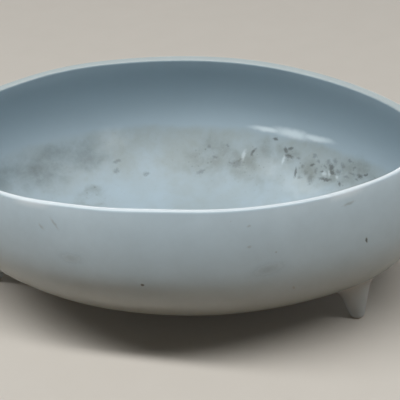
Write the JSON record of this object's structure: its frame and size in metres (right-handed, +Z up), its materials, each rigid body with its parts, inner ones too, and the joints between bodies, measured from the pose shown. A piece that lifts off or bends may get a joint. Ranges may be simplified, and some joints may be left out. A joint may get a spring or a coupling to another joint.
{
  "type": "ikebana suiban",
  "caption": "Shallow oval glazed ceramic bowl on short tapered peg feet, with an in-leaning wall, a rounded lip and a flat inner floor, for ikebana flower arranging.",
  "frame": {"origin": "on the table under the middle of the bowl", "axes": "+X along the bowl's length, +Y across it towards the back, +Z up"},
  "size_m": [0.276, 0.184, 0.092],
  "materials": {
    "bowl_glaze": "satin pale blue-grey glaze",
    "foot_glaze": "satin pale blue-grey glaze, bare clay on the ground tips"
  },
  "bodies": {
    "root": {"bowl": "bowl_glaze", "foot_front_left": "foot_glaze", "foot_front_right": "foot_glaze", "foot_back_left": "foot_glaze", "foot_back_right": "foot_glaze"}
  },
  "joints": []
}
